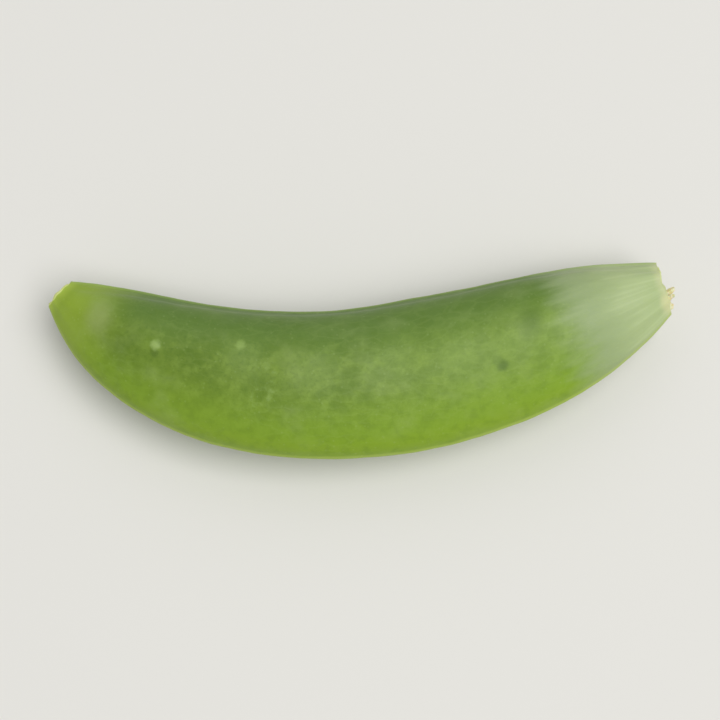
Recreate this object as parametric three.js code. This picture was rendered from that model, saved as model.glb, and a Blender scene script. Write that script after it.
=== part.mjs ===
// A snap pea pod, topped and tailed, lying on one of its two broad sides.
//
// The pod is one fleshy piece. A section across it is an oval, wider towards the seam that bears the
// seeds than towards its back. The sections fan out along the pod between two edges: the hollow seam
// edge and the long bowed back edge. The pod was cut straight across at the flower tip and at the stem.
// Its walls swell slightly over each seed, and the side that it lies on is a touch flattened.
//
// Millimetres. +X runs from the tip to the stem end, +Y from the back to the seam, and +Z up.
// The origin is under the middle of the pod, on the surface that it rests on.

import * as THREE from "three";
import { LoftGeometry } from "three/addons/geometries/LoftGeometry.js";

// Each edge is one smooth curve: the cut tip, three points that draw it, and the cut stem end.
const SEAM_EDGE = [[-30.6, 8.3], [-16.5, 6.9], [-4.0, -1.2], [9.0, 10.3], [31.1, 10.4]];
const BACK_EDGE = [[-33.0, 5.8], [-24.4, -15.3], [4.4, -13.5], [21.1, -8.8], [32.6, 5.0]];

const THICKNESS = 11.4; // of the filled middle, between the two broad sides
const TIP_SHARE = 0.26; // thickness at the cut tip, as a share of the middle's
const STEM_SHARE = 0.36; // thickness at the cut stem end, as a share of the middle's
const TIP_TAPER = 0.42; // share of the pod's length over which it thins towards the tip
const STEM_TAPER = 0.4; // share of the pod's length over which it thins towards the stem
const TAPER_POWER = 2.4; // how late the thinning sets in
const SEAM_SHOULDER = 0.24; // how much wider the oval is near the seam, and narrower near the back

const SEEDS = 7;
const FIRST_SEED = 0.17; // places of the end seeds, as shares of the pod's length
const LAST_SEED = 0.86;
const SEED_SWELL = 0.2; // how far each wall stands out over a seed

const TWIST = THREE.MathUtils.degToRad(5); // of the stem end against the tip
const REST_FLAT = 0.3; // how much of the lowest swelling is pressed flat

const STATIONS = 62; // steps along the pod
const SECTION_POINTS = 32; // points round each section

const SKIN = { color: 0x7c9a46, roughness: 0.42, metalness: 0 };

/** A Bezier curve of any degree, in the pod's own plane. */
class EdgeCurve extends THREE.Curve {
  constructor(controls) {
    super();
    this.controls = controls.map(([x, y]) => new THREE.Vector3(x, y, 0));
  }

  getPoint(t, target = new THREE.Vector3()) {
    let points = this.controls;
    while (points.length > 1) {
      points = points.slice(1).map((p, i) => points[i].clone().lerp(p, t));
    }
    return target.copy(points[0]);
  }
}

/** Half the thickness at a share of the pod's length, with no seeds in it. */
function bareHalfThickness(share) {
  const toTip = Math.max(0, 1 - share / TIP_TAPER) ** TAPER_POWER;
  const toStem = Math.max(0, 1 - (1 - share) / STEM_TAPER) ** TAPER_POWER;
  const thinning = (1 - TIP_SHARE) * toTip + (1 - STEM_SHARE) * toStem;
  return (THICKNESS / 2) * (1 - thinning);
}

/** How far each wall stands out over the seeds at a share of the pod's length. */
function seedSwell(share) {
  const pitch = (LAST_SEED - FIRST_SEED) / (SEEDS - 1);
  const count = (share - FIRST_SEED) / pitch;
  const beyondEnds = Math.max(0, -count, count - (SEEDS - 1));
  return beyondEnds < 0.5 ? SEED_SWELL * Math.cos(Math.PI * count) ** 2 : 0;
}

/** One section of the pod: a ring from the seam edge over the top to the back edge and round below. */
function section(share, back, seam) {
  const middle = back.clone().lerp(seam, 0.5);
  const halfDepth = back.distanceTo(seam) / 2;
  const halfThickness = bareHalfThickness(share) + seedSwell(share);
  const turn = TWIST * (share - 0.5);
  const towardsSeam = seam.clone().sub(back).normalize();
  const across = towardsSeam.clone().multiplyScalar(Math.cos(turn)).setZ(Math.sin(turn));
  const up = towardsSeam.clone().multiplyScalar(-Math.sin(turn)).setZ(Math.cos(turn));
  const ring = [];
  for (let i = 0; i < SECTION_POINTS; i++) {
    const angle = (2 * Math.PI * i) / SECTION_POINTS;
    const depth = halfDepth * Math.cos(angle);
    const width = halfThickness * Math.sin(angle) * (1 + SEAM_SHOULDER * Math.cos(angle));
    ring.push(middle.clone().addScaledVector(across, depth).addScaledVector(up, width));
  }
  return ring;
}

/** The whole pod as one closed loft, with a flat cut at each end and a flattened patch to lie on. */
function podGeometry() {
  const back = new EdgeCurve(BACK_EDGE).getSpacedPoints(STATIONS);
  const seam = new EdgeCurve(SEAM_EDGE).getSpacedPoints(STATIONS);
  const sections = back.map((p, i) => section(i / STATIONS, p, seam[i]));

  const corners = new THREE.Box3().setFromPoints(sections.flat());
  const floor = corners.min.z + REST_FLAT;
  const centre = corners.getCenter(new THREE.Vector3()).setZ(floor);
  for (const point of sections.flat()) {
    point.z = Math.max(point.z, floor);
    point.sub(centre);
  }
  return new LoftGeometry(sections, { capStart: true, capEnd: true });
}

const pod = new THREE.Mesh(podGeometry(), new THREE.MeshStandardMaterial(SKIN));
pod.name = "pod";

const snapPeaPod = new THREE.Group();
snapPeaPod.add(pod);

export default snapPeaPod;
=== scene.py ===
"""A trimmed snap pea pod, lying on its side on a pale table under soft light.

Metres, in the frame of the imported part: +X runs from the flower tip to the stem end, +Y from the
bowed back to the hollow seam edge, and +Z up from the table.
"""

import math
import random

import bmesh
import bpy
from mathutils import Matrix, Vector, noise


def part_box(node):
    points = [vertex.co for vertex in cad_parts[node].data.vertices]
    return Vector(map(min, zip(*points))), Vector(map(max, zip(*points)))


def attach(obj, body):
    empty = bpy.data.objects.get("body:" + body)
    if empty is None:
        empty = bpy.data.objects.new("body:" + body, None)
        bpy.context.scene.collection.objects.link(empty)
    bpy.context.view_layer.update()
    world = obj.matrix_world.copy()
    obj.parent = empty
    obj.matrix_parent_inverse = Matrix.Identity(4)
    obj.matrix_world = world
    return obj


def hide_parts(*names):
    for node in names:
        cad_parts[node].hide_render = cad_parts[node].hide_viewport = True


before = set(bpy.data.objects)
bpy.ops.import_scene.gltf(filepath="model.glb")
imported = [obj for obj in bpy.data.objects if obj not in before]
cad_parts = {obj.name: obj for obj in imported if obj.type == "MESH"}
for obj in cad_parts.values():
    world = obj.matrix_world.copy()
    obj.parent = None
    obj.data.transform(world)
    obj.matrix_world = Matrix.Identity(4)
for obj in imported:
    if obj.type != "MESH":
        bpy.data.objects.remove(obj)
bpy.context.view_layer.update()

# ---------------------------------------------------------------------------------------------------
# Camera: it looks down on the pod from the side of its bowed back, and the pod fills most of its
# width.
CAMERA_ELEVATION = math.radians(78)
LENS_MM = 100
SENSOR_MM = 36
POD_SHARE_OF_FRAME = 0.87
NEAREST_IN_VIEW = 0.01

scene = bpy.context.scene
low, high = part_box("pod")
middle = (low + high) / 2
camera_distance = (high.x - low.x) / POD_SHARE_OF_FRAME * LENS_MM / SENSOR_MM
camera_data = bpy.data.cameras.new("camera")
camera_data.lens = LENS_MM
camera_data.sensor_width = SENSOR_MM
camera_data.clip_start = NEAREST_IN_VIEW
camera = bpy.data.objects.new("camera", camera_data)
towards_camera = Vector((0, -math.cos(CAMERA_ELEVATION), math.sin(CAMERA_ELEVATION)))
camera.location = middle + towards_camera * camera_distance
camera.rotation_euler = (math.pi / 2 - CAMERA_ELEVATION, 0, 0)
scene.collection.objects.link(camera)
scene.camera = camera

# ---------------------------------------------------------------------------------------------------
# Pod: one closed green husk that grew in one piece and was topped and tailed.
# Its skin is thick, crisp and lightly waxed, and it swells softly over each seed. A seam runs along
# the hollow edge and a fine rib along the bowed back. Both ends were snapped off across the pod.

# The bare shape, in millimetres: ovals across the pod fan out between its two edges.
MM = 0.001
SEAM_EDGE = ((-30.6, 8.3), (-16.5, 6.9), (-4.0, -1.2), (9.0, 10.3), (31.1, 10.4))
BACK_EDGE = ((-33.0, 5.8), (-24.4, -15.3), (4.4, -13.5), (21.1, -8.8), (32.6, 5.0))
CHORDS = 500  # that an edge's length is measured along
THICKNESS = 11.0  # of the filled middle, before the relief of its skin
TIP_SHARE = 0.26  # thickness at the cut tip, as a share of the middle's
STEM_SHARE = 0.36  # thickness at the cut stem end, as a share of the middle's
TIP_TAPER = 0.42  # share of the pod's length over which it thins towards the tip
STEM_TAPER = 0.4  # share of the pod's length over which it thins towards the stem
TAPER_POWER = 2.4  # how late the thinning sets in
SEAM_SHOULDER = 0.24  # how much wider the oval is near the seam, and narrower near the back
TWIST = math.radians(5)  # of the stem end against the tip
REST_FLAT = 0.3  # how much of the lowest swelling is pressed flat

STATIONS = 290  # steps along the pod
GIRTH_POINTS = 224  # points round it
CROWDING = 0.3  # how far those points crowd towards the pod's two edges


def bezier(controls, t):
    """A point on a Bezier curve of any degree."""
    points = [Vector((x, y, 0)) for x, y in controls]
    while len(points) > 1:
        points = [a.lerp(b, t) for a, b in zip(points, points[1:])]
    return points[0]


def spaced_points(controls, steps):
    """Points at equal distances along a Bezier curve, both ends among them, and its length."""
    fine = [bezier(controls, i / CHORDS) for i in range(CHORDS + 1)]
    run = [0.0]
    for a, b in zip(fine, fine[1:]):
        run.append(run[-1] + (b - a).length)
    points = []
    i = 0
    for step in range(steps + 1):
        target = run[-1] * step / steps
        while i < CHORDS - 1 and run[i + 1] < target:
            i += 1
        points.append(fine[i].lerp(fine[i + 1], (target - run[i]) / (run[i + 1] - run[i])))
    return points, run[-1]


def smooth(start, end, x):
    """0 before start, 1 after end, and a smooth rise between them."""
    t = min(1.0, max(0.0, (x - start) / (end - start)))
    return t * t * (3 - 2 * t)


def bell(x):
    """1 at 0, falling smoothly to nearly nothing at 2 on either side."""
    return math.exp(-x * x)


seam_points, seam_length = spaced_points(SEAM_EDGE, STATIONS)
back_points, back_length = spaced_points(BACK_EDGE, STATIONS)
POD_LENGTH = (seam_length + back_length) / 2


def half_depth(share):
    """Half the way from the back to the seam at a share of the pod's length."""
    station = round(share * STATIONS)
    return (seam_points[station] - back_points[station]).length / 2


def half_thickness(share):
    """Half the pod's thickness at a share of its length, with no seeds in it."""
    to_tip = max(0.0, 1 - share / TIP_TAPER) ** TAPER_POWER
    to_stem = max(0.0, 1 - (1 - share) / STEM_TAPER) ** TAPER_POWER
    return THICKNESS / 2 * (1 - (1 - TIP_SHARE) * to_tip - (1 - STEM_SHARE) * to_stem)


def section(station):
    """The matrix that lays a unit ring, X to the seam and Y up, across the pod at a station."""
    seam, back = seam_points[station], back_points[station]
    seamward = (seam - back).normalized()
    along_axis = Vector((seamward.y, -seamward.x, 0))
    turn = Matrix.Rotation(-TWIST * (station / STATIONS - 0.5), 3, along_axis)
    ring_x = turn @ seamward * (seam - back).length / 2
    ring_y = turn @ Vector((0, 0, 1)) * half_thickness(station / STATIONS)
    place = Matrix((ring_x, ring_y, along_axis)).transposed().to_4x4()
    place.translation = (seam + back) / 2
    return place


# Each vertex knows its place on the pod: its share of the length from the tip; its share of the way
# from the middle to the seam (or to the back, below 0) and to the upper side (or the lower); its
# distance from the seam and from the rib of the back, in mm; and on a cut face its share of the way
# from the rim to the middle. It also knows where it would be on the pod straightened out, in mm.
pod_bm = bmesh.new()
along = pod_bm.verts.layers.float.new("along")
depth = pod_bm.verts.layers.float.new("depth")
width = pod_bm.verts.layers.float.new("width")
from_seam = pod_bm.verts.layers.float.new("from_seam")
from_rib = pod_bm.verts.layers.float.new("from_rib")
cut = pod_bm.verts.layers.float.new("cut")
straight = pod_bm.verts.layers.float_vector.new("straight")
bmesh.ops.create_circle(pod_bm, segments=GIRTH_POINTS, radius=1)
for v in pod_bm.verts:
    angle = math.atan2(v.co.y, v.co.x)
    angle -= CROWDING * math.sin(2 * angle)
    v[depth] = math.cos(angle)
    v[width] = math.sin(angle) * (1 + SEAM_SHOULDER * math.cos(angle))


def lay_ring(verts, place, depth_share=1.0, width_share=1.0, out=0.0):
    """Lays a ring of the pod's vertices across it, shrunk to a share and moved along it, in mm."""
    for v in verts:
        v.co = place @ Vector((v[depth] * depth_share, v[width] * width_share, out))


def extrude_ring(bm, edges, finish):
    """Extrudes a loop of edges, gives the new faces a finish, and returns the new vertices and loop."""
    made = bmesh.ops.extrude_edge_only(bm, edges=edges)["geom"]
    verts = [g for g in made if isinstance(g, bmesh.types.BMVert)]
    new = set(verts)
    ring = list(dict.fromkeys(e for v in verts for e in v.link_edges if e.other_vert(v) in new))
    for face in {f for e in ring for f in e.link_faces}:
        face.material_index = finish
        face.smooth = True
    return verts, ring


SKIN, FLESH, STRAND = 0, 1, 2  # the order of the pod's materials
tip_edges = stem_edges = pod_bm.edges[:]
lay_ring(pod_bm.verts, section(0))
for station in range(1, STATIONS + 1):
    verts, stem_edges = extrude_ring(pod_bm, stem_edges, SKIN)
    lay_ring(verts, section(station))
    for v in verts:
        v[along] = station / STATIONS
bmesh.ops.recalc_face_normals(pod_bm, faces=pod_bm.faces[:])
pod_bm.normal_update()

# The relief of the skin stands out from the bare shape, and its heights and widths are in mm.
# A low swelling lies over each seed, a little to the seam's side of the middle.
SEEDS = 7
FIRST_SEED, LAST_SEED = 0.17, 0.86
SEED_PITCH = (LAST_SEED - FIRST_SEED) / (SEEDS - 1)
SEED_STRAY = 0.2  # how far a seed strays from its even place, as a share of the pitch
SEED_VARIETY = 0.6  # how much the swellings differ in height
SEED_SWELL = 0.34
SEED_REACH = 3.3  # along the pod
SEED_MIDDLE, SEED_BREADTH = 0.16, 0.5  # across it, as shares of the half depth
SEED_FADE = (0.3, 0.9)  # from the pod's edges to its broad sides

# Two fine lips run along the seam, with a groove between them and a gutter outside each, and a rib
# runs along the back.
LIP_HEIGHT, LIP_WIDTH, LIP_PLACE = 0.3, 0.36, 0.5
GUTTER_DEPTH, GUTTER_WIDTH, GUTTER_PLACE = 0.16, 0.8, 2.0
RIB_HEIGHT, RIB_WIDTH = 0.15, 0.4

# Faint ribs show where the stem's strands run in, and fainter ones at the tip.
STRANDS = 11
STRAND_HEIGHT = 0.045
STEM_RIBS, TIP_RIBS = (0.84, 0.97), (0.1, 0.0)
TIP_RIB_SHARE = 0.5

# Anything that grew is uneven: each pair is the size and the height of its swellings and dents.
GROWTH = ((9.0, 0.17), (3.0, 0.0595), (0.9, 0.014))

# The snapped rims waver, and the stem's sinks between its two edges.
RIM_WAVER = 0.13
RIM_WAVES = 2.2  # how many across half the pod's depth
RIMS_APART = 5  # far enough for the two to differ
STEM_SINK = 0.3
SINK_MIDDLE, SINK_BREADTH = 0.1, 0.5
STEM_RIM, TIP_RIM = (0.96, 1), (0.03, 0)

# Small marks on the upper side: share of the length from the tip, share of the way to the seam,
# radius and height. Two are raised scars and one is a nick.
SCAR = (0.193, 0.045, 0.5, 0.1)
FAINT_SCAR = (0.317, 0.347, 0.5, 0.05)
NICK = (0.712, -0.24, 0.4, -0.07)


def straightened(share, d, w):
    """A place on the pod as if it were straight, in mm."""
    return Vector((share * POD_LENGTH, d * half_depth(share), w * half_thickness(share)))


def upper_side(share, d):
    """A place on the upper side of the straightened pod."""
    return straightened(share, d, math.sqrt(1 - d * d) * (1 + SEAM_SHOULDER * d))


def seed_relief(share, d, w):
    """The swellings over the seeds. Each seed has a chance of its own, from -1 to 1."""
    total = 0.0
    for i in range(SEEDS):
        chance = noise.noise(Vector((i * 1.7, 3.1, 0.4)))
        centre = FIRST_SEED + SEED_PITCH * (i + SEED_STRAY * chance)
        lengthwise = bell((share - centre) * POD_LENGTH / SEED_REACH)
        total += (1 + SEED_VARIETY * chance) * lengthwise * bell((d - SEED_MIDDLE) / SEED_BREADTH)
    return SEED_SWELL * total * smooth(*SEED_FADE, abs(w))


def edge_relief(seam_gap, rib_gap):
    """The lips and gutters of the seam and the rib of the back, by the distances from them."""
    lips = LIP_HEIGHT * bell((seam_gap - LIP_PLACE) / LIP_WIDTH)
    gutters = GUTTER_DEPTH * bell((seam_gap - GUTTER_PLACE) / GUTTER_WIDTH)
    return lips - gutters + RIB_HEIGHT * bell(rib_gap / RIB_WIDTH)


def strand_relief(share, d, w):
    """The faint ribs at both ends."""
    near_end = smooth(*STEM_RIBS, share) + TIP_RIB_SHARE * smooth(*TIP_RIBS, share)
    return STRAND_HEIGHT * near_end * math.cos(STRANDS * math.atan2(w, d))


def grown_relief(place):
    """The unevenness of growth."""
    return sum(height * noise.noise(place / size) for size, height in GROWTH)


def rim_offset(share, d, w):
    """How far the rim of an end stands out along the pod, and the skin by it."""
    waver = RIM_WAVER * noise.noise(Vector((d, w, RIMS_APART * share)) * RIM_WAVES)
    sink = STEM_SINK * bell((d - SINK_MIDDLE) / SINK_BREADTH)
    return (waver - sink) * smooth(*STEM_RIM, share) - waver * smooth(*TIP_RIM, share)


marks = [(upper_side(share, d), radius, rise) for share, d, radius, rise in (SCAR, FAINT_SCAR, NICK)]
for v in pod_bm.verts:
    share, d, w = v[along], v[depth], v[width]
    place = straightened(share, d, w)
    v[straight] = place
    v[from_seam] = math.hypot(half_depth(share) - place.y, place.z)
    v[from_rib] = math.hypot(half_depth(share) + place.y, place.z)
    relief = seed_relief(share, d, w) + edge_relief(v[from_seam], v[from_rib])
    relief += strand_relief(share, d, w) + grown_relief(v.co)
    relief += sum(rise * bell((place - spot).length / radius) for spot, radius, rise in marks)
    v.co += v.normal * relief
    v.co += section(round(share * STATIONS)).col[2].to_3d() * rim_offset(share, d, w)

# The two cut faces: inside the rim the flesh stands a little proud, then dips to the closed slit of
# the pod's hollow. A slope lies between two shares of the way in from the rim.
FACE_RINGS = 18
CROWN_END = 0.24  # where the proud flesh ends, as such a share
DISH_SLOPE, SLIT_SLOPE = (0.15, 0.6), (0.72, 1)
SLIT_DEPTH = 0.45  # below the dish, in mm
SLIT_OPENING = 0.03  # as a share of the thickness
TEAR_HEIGHT = 0.16  # mm
TEARS = 1.9  # to the mm
TEARS_RISE, RIM_FADES = (0, 0.1), (0.5, 0)  # the slopes of the tears and of the rim's waver


def close_end(edges, station, slit, crown, dish):
    """Closes an end with a snapped face, by its slit's share of the depth, its crown and its dish."""
    place = section(station)
    sign = 1 if station else -1
    for i in range(1, FACE_RINGS + 1):
        t = i / FACE_RINGS
        verts, edges = extrude_ring(pod_bm, edges, FLESH)
        proud = crown * math.sin(math.pi * min(1, t / CROWN_END))
        dip = dish * smooth(*DISH_SLOPE, t) + SLIT_DEPTH * smooth(*SLIT_SLOPE, t)
        lay_ring(verts, place, 1 - t * (1 - slit), 1 - t * (1 - SLIT_OPENING), sign * (proud - dip))
        for v in verts:
            v[cut] = t
            torn = TEAR_HEIGHT * smooth(*TEARS_RISE, t) * noise.noise(v.co * TEARS)
            torn += rim_offset(v[along], v[depth], v[width]) * smooth(*RIM_FADES, t)
            v.co += place.col[2].to_3d() * torn
    for face in bmesh.ops.edgeloop_fill(pod_bm, edges=edges, mat_nr=FLESH)["faces"]:
        face.smooth = True


close_end(tip_edges, 0, slit=0.45, crown=0.18, dish=0.1)
close_end(stem_edges, STATIONS, slit=0.5, crown=0.06, dish=0.25)
bmesh.ops.recalc_face_normals(pod_bm, faces=pod_bm.faces[:])

# The side it lies on is a touch flattened.
ground = min(v.co.z for v in pod_bm.verts) + REST_FLAT
for v in pod_bm.verts:
    v.co.z = max(v.co.z, ground)
lowest = Vector([min(v.co[i] for v in pod_bm.verts) for i in range(3)])
highest = Vector([max(v.co[i] for v in pod_bm.verts) for i in range(3)])

# Torn strands of the stem stand out of its cut in two tufts, one by the slit and one by the back.
# Each strand is a patch of the cut face pulled out, thinned and bent. A tuft has its place (to the
# seam, up), its number of strands and their length. The pairs are the least and the most of what
# chance gives each strand.
TUFTS = (((-0.24, 0.15), 3, 1.3), ((-0.64, 0.25), 4, 0.5))
STRAND_RADIUS, STRAND_GAP = 0.45, 0.46
GOLDEN_ANGLE = math.radians(137.5)  # from one strand of a tuft to the next, round its middle
THINNING = (0.85, 0.92, 0.98, 0.98, 0.98, 0.98, 0.9, 0.65)  # at each step out
WIDTHS, LENGTHS = (0.7, 1.1), (0.7, 1.05)  # as shares of the radius and of the tuft's length
FANNING = 0.2  # how far a tuft's strands lean apart
LEAN_TO_SEAM, LEAN_UP = (-0.2, 0.2), (-0.1, 0.3)
BEND_TO_SEAM, BEND_UP = (-0.5, 0.5), (-0.5, 0.3)
draw = random.Random(5)
stem_face = section(STATIONS)
outward = stem_face.col[2].to_3d()
across = stem_face.col[0].to_3d().normalized()
stem_flesh = [f for f in pod_bm.faces if f.material_index == FLESH and f.verts[0][along] > 0.5]
for (d, w), count, length in TUFTS:
    for i in range(count):
        turn = i * GOLDEN_ANGLE
        aside = (across * math.cos(turn) + Vector((0, 0, math.sin(turn)))) * math.sqrt(i)
        root = stem_face @ Vector((d, w, 0)) + aside * STRAND_GAP
        radius = STRAND_RADIUS * draw.uniform(*WIDTHS)
        patch = []
        for face in stem_flesh:
            if face.is_valid:
                offset = face.calc_center_median() - root
                offset -= outward * offset.dot(outward)
                if offset.length < radius:
                    patch.append(face)
        patch += dict.fromkeys(e for f in patch for e in f.edges)
        lean = outward + aside * FANNING
        lean += Vector((0, draw.uniform(*LEAN_TO_SEAM), draw.uniform(*LEAN_UP)))
        bend = Vector((0, draw.uniform(*BEND_TO_SEAM), draw.uniform(*BEND_UP)))
        reach = length * draw.uniform(*LENGTHS)
        for step, thinner in enumerate(THINNING):
            patch = bmesh.ops.extrude_face_region(pod_bm, geom=patch)["geom"]
            end = [g for g in patch if isinstance(g, bmesh.types.BMVert)]
            stride = (lean + bend * (step / len(THINNING))) * reach / len(THINNING)
            bmesh.ops.translate(pod_bm, verts=end, vec=stride)
            centre = sum((v.co for v in end), Vector()) / len(end)
            around = Matrix.Translation(-centre)
            bmesh.ops.scale(pod_bm, verts=end, vec=(thinner,) * 3, space=around)
            for face in {f for v in end for f in v.link_faces}:
                face.material_index = STRAND
                face.smooth = True
strand_verts = [v for v in pod_bm.verts if any(f.material_index == STRAND for f in v.link_faces)]
bmesh.ops.smooth_vert(
    pod_bm, verts=strand_verts, factor=0.5, use_axis_x=True, use_axis_y=True, use_axis_z=True
)
bmesh.ops.recalc_face_normals(pod_bm, faces=pod_bm.faces[:])

# The finished pod goes from millimetres to metres and fills the box of the plain one, which only its
# strands stand out of.
fit = [(high[i] - low[i]) / (highest[i] - lowest[i]) for i in range(3)]
bmesh.ops.translate(pod_bm, verts=pod_bm.verts, vec=-(lowest + highest) / 2)
bmesh.ops.scale(pod_bm, verts=pod_bm.verts, vec=fit)
bmesh.ops.translate(pod_bm, verts=pod_bm.verts, vec=middle)

pod_mesh = bpy.data.meshes.new("snap_pod")
pod_bm.to_mesh(pod_mesh)
pod_bm.free()
pod = bpy.data.objects.new("snap_pod", pod_mesh)
scene.collection.objects.link(pod)


def linear(colour):
    """A colour as hex sRGB, turned to linear red, green, blue and alpha."""
    parts = [int(colour[i : i + 2], 16) / 255 for i in (1, 3, 5)]
    return [p / 12.92 if p < 0.04045 else ((p + 0.055) / 1.055) ** 2.4 for p in parts] + [1]


def add(tree, kind, inputs=None, output=None, **settings):
    """Adds a node with its settings, feeds its inputs, and gives the output asked for, or its first.

    An input is a hex colour, a value, or the output that feeds it.
    """
    node = tree.nodes.new(kind)
    for name, value in settings.items():
        setattr(node, name, value)
    for key, value in (inputs or {}).items():
        if isinstance(key, int):
            socket = node.inputs[key]
        else:
            socket = next(s for s in node.inputs if s.enabled and s.name == key)
        if isinstance(value, bpy.types.NodeSocket):
            tree.links.new(value, socket)
        else:
            socket.default_value = linear(value) if isinstance(value, str) else value
    return next((s for s in node.outputs if s.enabled and output in (None, s.name)), None)


def new_material(name):
    """An empty material, and its node tree."""
    material = bpy.data.materials.new(name)
    material.use_nodes = True
    material.node_tree.nodes.clear()
    return material, material.node_tree


def tinted(tree, colour, tints):
    """Lays tints over a colour, one after another.

    A tint follows a value: it begins at one level of it, is fullest at another, and covers that share.
    """
    for value, start, full, cover, tint in tints:
        levels = {"Value": value, "From Min": start, "From Max": full, "To Max": cover}
        share = add(tree, "ShaderNodeMapRange", levels, interpolation_type="SMOOTHSTEP")
        mix = {"Factor": share, "A": colour, "B": tint}
        colour = add(tree, "ShaderNodeMix", mix, data_type="RGBA")
    return colour


# Skin: living green epidermis under a film of plant wax. The wax gives a soft satin gloss and, where
# it is thick, a greyish bloom; the flesh below lets a little light through. Pattern sizes are in mm.
PATCH, MOTTLE, PORE_GAP = 8.0, 1.2, 0.8
GRAIN = 0.36  # coarser than the skin's true cells, which are too fine to show
CLOUD = (4.5, 3.3, 3.3)
skin, tree = new_material("waxy_pod_skin")
place = add(tree, "ShaderNodeTexCoord", output="Object")
run = add(tree, "ShaderNodeAttribute", output="Vector", attribute_name="straight")
along_pod = add(tree, "ShaderNodeAttribute", output="Fac", attribute_name="along")
to_seam = add(tree, "ShaderNodeAttribute", output="Fac", attribute_name="depth")
seam_gap = add(tree, "ShaderNodeAttribute", output="Fac", attribute_name="from_seam")
rib_gap = add(tree, "ShaderNodeAttribute", output="Fac", attribute_name="from_rib")
patches = add(tree, "ShaderNodeTexNoise", {"Vector": place, "Scale": 1 / (PATCH * MM), "Detail": 3.0})
mottle = add(tree, "ShaderNodeTexNoise", {"Vector": place, "Scale": 1 / (MOTTLE * MM), "Detail": 3.0})
grain = add(tree, "ShaderNodeTexNoise", {"Vector": place, "Scale": 1 / (GRAIN * MM), "Detail": 2.0})
cloud_place = {"Vector": place, "Scale": [1 / (size * MM) for size in CLOUD]}
cloud_place = add(tree, "ShaderNodeMapping", cloud_place)
clouds = add(tree, "ShaderNodeTexNoise", {"Vector": cloud_place, "Scale": 1.0, "Detail": 6.0})
pores = add(tree, "ShaderNodeTexVoronoi", {"Vector": place, "Scale": 1 / (PORE_GAP * MM)})

# The pale neck by the stem runs into the green in streaks, further on the seam's side than on the
# back's.
STREAK = (14.0, 1.0, 1.0)
STREAK_REACH = 0.07  # how far the streaks run, as a share of the pod's length
SEAM_LEAD = 0.022  # how much further at the seam than at the middle, as such a share
streak_place = {"Vector": run, "Scale": [1 / size for size in STREAK]}
streak_place = add(tree, "ShaderNodeMapping", streak_place)
streaks = add(tree, "ShaderNodeTexNoise", {"Vector": streak_place, "Scale": 1.0, "Detail": 3.0})
streaked = {0: streaks, 1: STREAK_REACH, 2: along_pod}
streaked = add(tree, "ShaderNodeMath", streaked, operation="MULTIPLY_ADD")
streaked = {0: to_seam, 1: SEAM_LEAD, 2: streaked}
streaked = add(tree, "ShaderNodeMath", streaked, operation="MULTIPLY_ADD")

# Under the neck's skin the stem's fibres show as fine pale lines that draw together towards the cut.
FIBRE_LENGTH, FIBRE_WIDTH = 15.0, 0.5
NECK = 0.93  # where the fibres have that width, as a share of the pod's length
neck = {"Value": streaked, "From Min": 0.86, "From Max": 0.97}
neck = add(tree, "ShaderNodeMapRange", neck, interpolation_type="SMOOTHSTEP")
fibre_scale = (POD_LENGTH / FIBRE_LENGTH, half_depth(NECK) / FIBRE_WIDTH, 1.0)
fibre_place = add(tree, "ShaderNodeCombineXYZ", {"X": along_pod, "Y": to_seam})
fibre_place = add(tree, "ShaderNodeMapping", {"Vector": fibre_place, "Scale": fibre_scale})
fibres = add(tree, "ShaderNodeTexNoise", {"Vector": fibre_place, "Scale": 1.0, "Detail": 2.0})
fibres = add(tree, "ShaderNodeMath", {0: fibres, 1: neck}, operation="MULTIPLY")

# The veins are a fine, wavering net with long slanting meshes, clearest where the patches are dark.
VEIN_MESH = (2.6, 1.0, 2.2)
VEIN_SLANT = math.radians(32)
VEIN_FADE = 0.5
WAVER, WAVER_REACH = 1.1, (0.8, 0.8, 0.8)
waver = add(tree, "ShaderNodeTexNoise", {"Vector": run, "Scale": 1 / WAVER, "Detail": 2.0}, "Color")
slanted = {"Vector": run, "Rotation": (0, 0, VEIN_SLANT), "Scale": [1 / size for size in VEIN_MESH]}
slanted = add(tree, "ShaderNodeMapping", slanted)
bent = {0: waver, 1: WAVER_REACH, 2: slanted}
bent = add(tree, "ShaderNodeVectorMath", bent, operation="MULTIPLY_ADD")
veins = add(tree, "ShaderNodeTexVoronoi", {"Vector": bent, "Scale": 1.0}, feature="DISTANCE_TO_EDGE")
veins = add(tree, "ShaderNodeMath", {0: patches, 1: VEIN_FADE, 2: veins}, operation="MULTIPLY_ADD")

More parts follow.
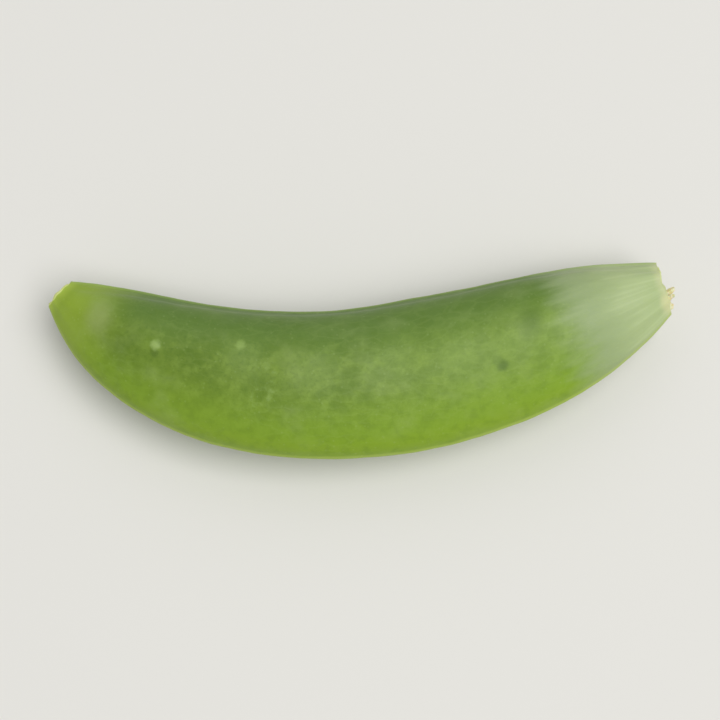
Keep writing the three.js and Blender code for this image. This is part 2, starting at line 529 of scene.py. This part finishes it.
skin_colour = tinted(
    tree,
    "#5f7b24",
    (
        (patches, 0.3, 0.7, 1.0, "#728d2d"),  # fresher patches
        (mottle, 0.4, 0.75, 0.55, "#86a040"),  # mottle
        (grain, 0.45, 0.75, 0.42, "#53701b"),  # grain
        (along_pod, 0.35, 0.1, 0.25, "#547216"),  # painted shade, darker and deeper green towards the tip
        (along_pod, 0.3, 0.75, 0.42, "#87a63a"),  # fresher towards the stem
        (to_seam, 0.0, 0.65, 0.8, "#5a7832"),  # painted shade, darker towards the seam, over a cooler green there
        (to_seam, -0.1, -0.9, 0.75, "#84a524"),  # yellower towards the back: partly its own colour, partly painted light glowing through the thin back
        (to_seam, -0.75, -0.95, 0.4, "#86a408"),  # and most of all along its edge, where that painted glow is strongest
        (mottle, 0.52, 0.3, 0.22, "#5c7a1c"),  # the mottle's deeper spots, over all of these
        (along_pod, 0.15, 0.03, 0.8, "#93ac33"),  # yellow green at the tip
        (along_pod, 0.02, 0.0, 0.5, "#b3c850"),  # and brighter by its cut
        (streaked, 0.82, 0.9, 0.9, "#99aa7a"),  # greyer at the neck
        (streaked, 0.88, 0.99, 0.85, "#adbd87"),  # and pale towards its end
        (fibres, 0.35, 0.7, 0.3, "#c6d3a2"),  # fibres
        (along_pod, 0.98, 1.0, 0.5, "#d2d3a4"),  # drier and creamy by the stem's cut
        (veins, 0.33, 0.22, 0.06, "#a5bd6a"),  # veins
        (seam_gap, 1.1, 0.5, 0.6, "#9db566"),  # painted highlight along the lips of the seam
        (seam_gap, 0.3, 0.1, 0.5, "#67832f"),  # painted shade in the groove between them
        (rib_gap, 0.7, 0.25, 0.6, "#b0c45a"),  # painted highlight along the rib of the back
        (pores, 0.2, 0.08, 0.08, "#b9cc86"),  # pores, a fifth as wide as their gap
        (clouds, 0.48, 0.78, 0.2, "#a3b476"),  # bloom: wax in thin clouds
    ),
)

# The marks have ragged edges. Those with no relief have only their share of the length from the tip
# and share of the way to the seam. Apart from the scuff's, a tint's levels are mm from its middle.
FRAY, FRAY_REACH = 0.4, 0.4
SMUDGE = (0.764, 0.2)
PALE_PATCH = (0.088, 0.05)
SCUFF = (0.3655, -0.134)
SCUFF_FADE = 0.11  # how fast its flecks thin out, to the mm
DRY_RIM = (0.998, -0.6)
fray = {"Vector": place, "Scale": 1 / (FRAY * MM), "Detail": 2.0}
fray = add(tree, "ShaderNodeTexNoise", fray, "Color")
ragged = {0: fray, 1: (FRAY_REACH,) * 3, 2: run}
ragged = add(tree, "ShaderNodeVectorMath", ragged, operation="MULTIPLY_ADD")


def distance_to(share, d):
    """How far the skin is from a place on the upper side, in mm, with a ragged edge."""
    mean_fray = Vector((FRAY_REACH / 2,) * 3)
    spot = {0: ragged, 1: upper_side(share, d) + mean_fray}
    return add(tree, "ShaderNodeVectorMath", spot, "Value", operation="DISTANCE")


scuff = add(tree, "ShaderNodeMath", {0: distance_to(*SCUFF), 1: SCUFF_FADE}, operation="MULTIPLY")
scuff = add(tree, "ShaderNodeMath", {0: scuff, 1: mottle}, operation="SUBTRACT")
skin_colour = tinted(
    tree,
    skin_colour,
    (
        (distance_to(SCAR[0] + 0.003, SCAR[1] - 0.13), 0.7, 0.15, 0.6, "#4a6618"),  # painted shadow at the scar's foot
        (distance_to(*SCAR[:2]), 0.75, 0.2, 0.6, "#a4bd70"),  # pale scar
        (distance_to(*FAINT_SCAR[:2]), 0.75, 0.2, 0.45, "#9bb560"),  # fainter scar
        (distance_to(NICK[0] - 0.004, NICK[1] + 0.05), 0.8, 0.15, 0.45, "#5a782a"),  # bruised nick
        (distance_to(NICK[0] + 0.004, NICK[1] - 0.04), 0.85, 0.2, 0.7, "#527020"),  # its darker side
        (distance_to(*SMUDGE), 2.2, 0.3, 0.6, "#58742a"),  # darker smudge
        (distance_to(*PALE_PATCH), 2.6, 0.4, 0.38, "#a0ac72"),  # paler patch near the tip
        (scuff, -0.36, -0.6, 0.3, "#a5bf7e"),  # pale flecks of a scuff
        (distance_to(*DRY_RIM), 1.5, 0.4, 0.65, "#cfce98"),  # frayed, dry part of the stem's rim
    ),
)

# The gloss is softest where the wax is thick, and the grain and the veins have a fine relief, in mm.
roughness = add(tree, "ShaderNodeMapRange", {"Value": clouds, "To Min": 0.42, "To Max": 0.56})
GRAIN_HEIGHT, VEIN_HEIGHT = 0.02, 0.005
height = add(tree, "ShaderNodeMath", {0: grain, 1: GRAIN_HEIGHT}, operation="MULTIPLY")
vein_rise = {"Value": veins, "From Min": 0.36, "From Max": 0.22, "To Max": VEIN_HEIGHT}
vein_rise = add(tree, "ShaderNodeMapRange", vein_rise)
height = add(tree, "ShaderNodeMath", {0: height, 1: vein_rise}, operation="ADD")
bump = add(tree, "ShaderNodeBump", {"Height": height, "Distance": MM, "Strength": 1.0})
shader = add(
    tree,
    "ShaderNodeBsdfPrincipled",
    {
        "Base Color": skin_colour,
        "Roughness": roughness,
        "Normal": bump,
        "IOR": 1.45,
        "Subsurface Weight": 0.15,
        "Subsurface Radius": (1.0, 1.0, 0.35),
        "Subsurface Scale": 1.2 * MM,
        "Specular IOR Level": 0.4,
    },
)
add(tree, "ShaderNodeOutputMaterial", {"Surface": shader})

# Flesh: the crisp, wet wall of the pod where it was snapped. It is drying and pale at the rim, green
# inside it, yellower at the tip than at the stem, and darker in the slit.
CRUMB, CRUMB_HEIGHT = 0.45, 0.05
flesh, tree = new_material("snapped_pod_flesh")
place = add(tree, "ShaderNodeTexCoord", output="Object")
along_pod = add(tree, "ShaderNodeAttribute", output="Fac", attribute_name="along")
from_rim = add(tree, "ShaderNodeAttribute", output="Fac", attribute_name="cut")
crumbs = add(tree, "ShaderNodeTexNoise", {"Vector": place, "Scale": 1 / (CRUMB * MM), "Detail": 3.0})
flesh_colour = tinted(
    tree,
    "#bccb58",
    (
        (along_pod, 0.0, 1.0, 1.0, "#c4d196"),  # greyer at the stem end
        (crumbs, 0.35, 0.7, 0.5, "#dfe3b4"),  # torn cells
        (from_rim, 0.24, 0.08, 0.8, "#ccd68a"),  # dry rim
        (from_rim, 0.5, 0.9, 0.75, "#86a04c"),  # lining of the slit
    ),
)
height = add(tree, "ShaderNodeMath", {0: crumbs, 1: CRUMB_HEIGHT}, operation="MULTIPLY")
bump = add(tree, "ShaderNodeBump", {"Height": height, "Distance": MM, "Strength": 1.0})
shader = add(
    tree,
    "ShaderNodeBsdfPrincipled",
    {
        "Base Color": flesh_colour,
        "Roughness": 0.4,
        "Normal": bump,
        "IOR": 1.38,
        "Subsurface Weight": 0.3,
        "Subsurface Radius": (1.0, 0.9, 0.4),
        "Subsurface Scale": 1.0 * MM,
    },
)
add(tree, "ShaderNodeOutputMaterial", {"Surface": shader})

# Strands: dry, straw-coloured plant fibre, matt and slightly see-through.
HAIR, HAIR_HEIGHT = 0.4, 0.04
fibre, tree = new_material("dry_stem_fibre")
place = add(tree, "ShaderNodeTexCoord", output="Object")
hairs = add(tree, "ShaderNodeTexNoise", {"Vector": place, "Scale": 1 / (HAIR * MM), "Detail": 2.0})
fibre_colour = tinted(tree, "#d3cd92", ((hairs, 0.3, 0.7, 1.0, "#e4e0ba"),))
height = add(tree, "ShaderNodeMath", {0: hairs, 1: HAIR_HEIGHT}, operation="MULTIPLY")
bump = add(tree, "ShaderNodeBump", {"Height": height, "Distance": MM, "Strength": 1.0})
shader = add(
    tree,
    "ShaderNodeBsdfPrincipled",
    {
        "Base Color": fibre_colour,
        "Roughness": 0.6,
        "Normal": bump,
        "IOR": 1.45,
        "Subsurface Weight": 0.2,
        "Subsurface Scale": 0.5 * MM,
    },
)
add(tree, "ShaderNodeOutputMaterial", {"Surface": shader})

pod_mesh.materials.append(skin)
pod_mesh.materials.append(flesh)
pod_mesh.materials.append(fibre)
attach(pod, "root")
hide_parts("pod")

# ---------------------------------------------------------------------------------------------------
# Table: a wide, flat board with a coat of pale, matt paint. The pod lies loose on it, and it is no
# part of the pod.
TABLE_SIDE = 2.0
table_bm = bmesh.new()
bmesh.ops.create_grid(table_bm, x_segments=1, y_segments=1, size=TABLE_SIDE / 2)
table_mesh = bpy.data.meshes.new("table")
table_bm.to_mesh(table_mesh)
table_bm.free()
table = bpy.data.objects.new("table", table_mesh)
scene.collection.objects.link(table)
board, tree = new_material("pale_matt_board")
shader = add(tree, "ShaderNodeBsdfPrincipled", {"Base Color": "#e0ded8", "Roughness": 0.9})
add(tree, "ShaderNodeOutputMaterial", {"Surface": shader})
table_mesh.materials.append(board)

# ---------------------------------------------------------------------------------------------------
# Light: a soft box high above the pod and to its right, a weaker one high behind it, and a pale room.
# Each box has its place from the pod, its two sides and its power in watts.
SOFT_BOXES = (
    ("key_box", (0.48, -0.18, 1.32), 1.35, 1.08, 17.0),
    ("fill_box", (-0.3, 1.08, 1.2), 1.5, 1.2, 2.2),
)
ROOM_STRENGTH = 0.4
for name, from_pod, length, breadth, power in SOFT_BOXES:
    box_data = bpy.data.lights.new(name, "AREA")
    box_data.shape = "RECTANGLE"
    box_data.size = length
    box_data.size_y = breadth
    box_data.energy = power
    box = bpy.data.objects.new(name, box_data)
    box.location = middle + Vector(from_pod)
    box.rotation_euler = (-Vector(from_pod)).to_track_quat("-Z", "Y").to_euler()
    scene.collection.objects.link(box)

room = bpy.data.worlds.new("room")
room.use_nodes = True
room.node_tree.nodes["Background"].inputs["Color"].default_value = linear("#f2f4f6")
room.node_tree.nodes["Background"].inputs["Strength"].default_value = ROOM_STRENGTH
scene.world = room
scene.view_settings.view_transform = "Standard"
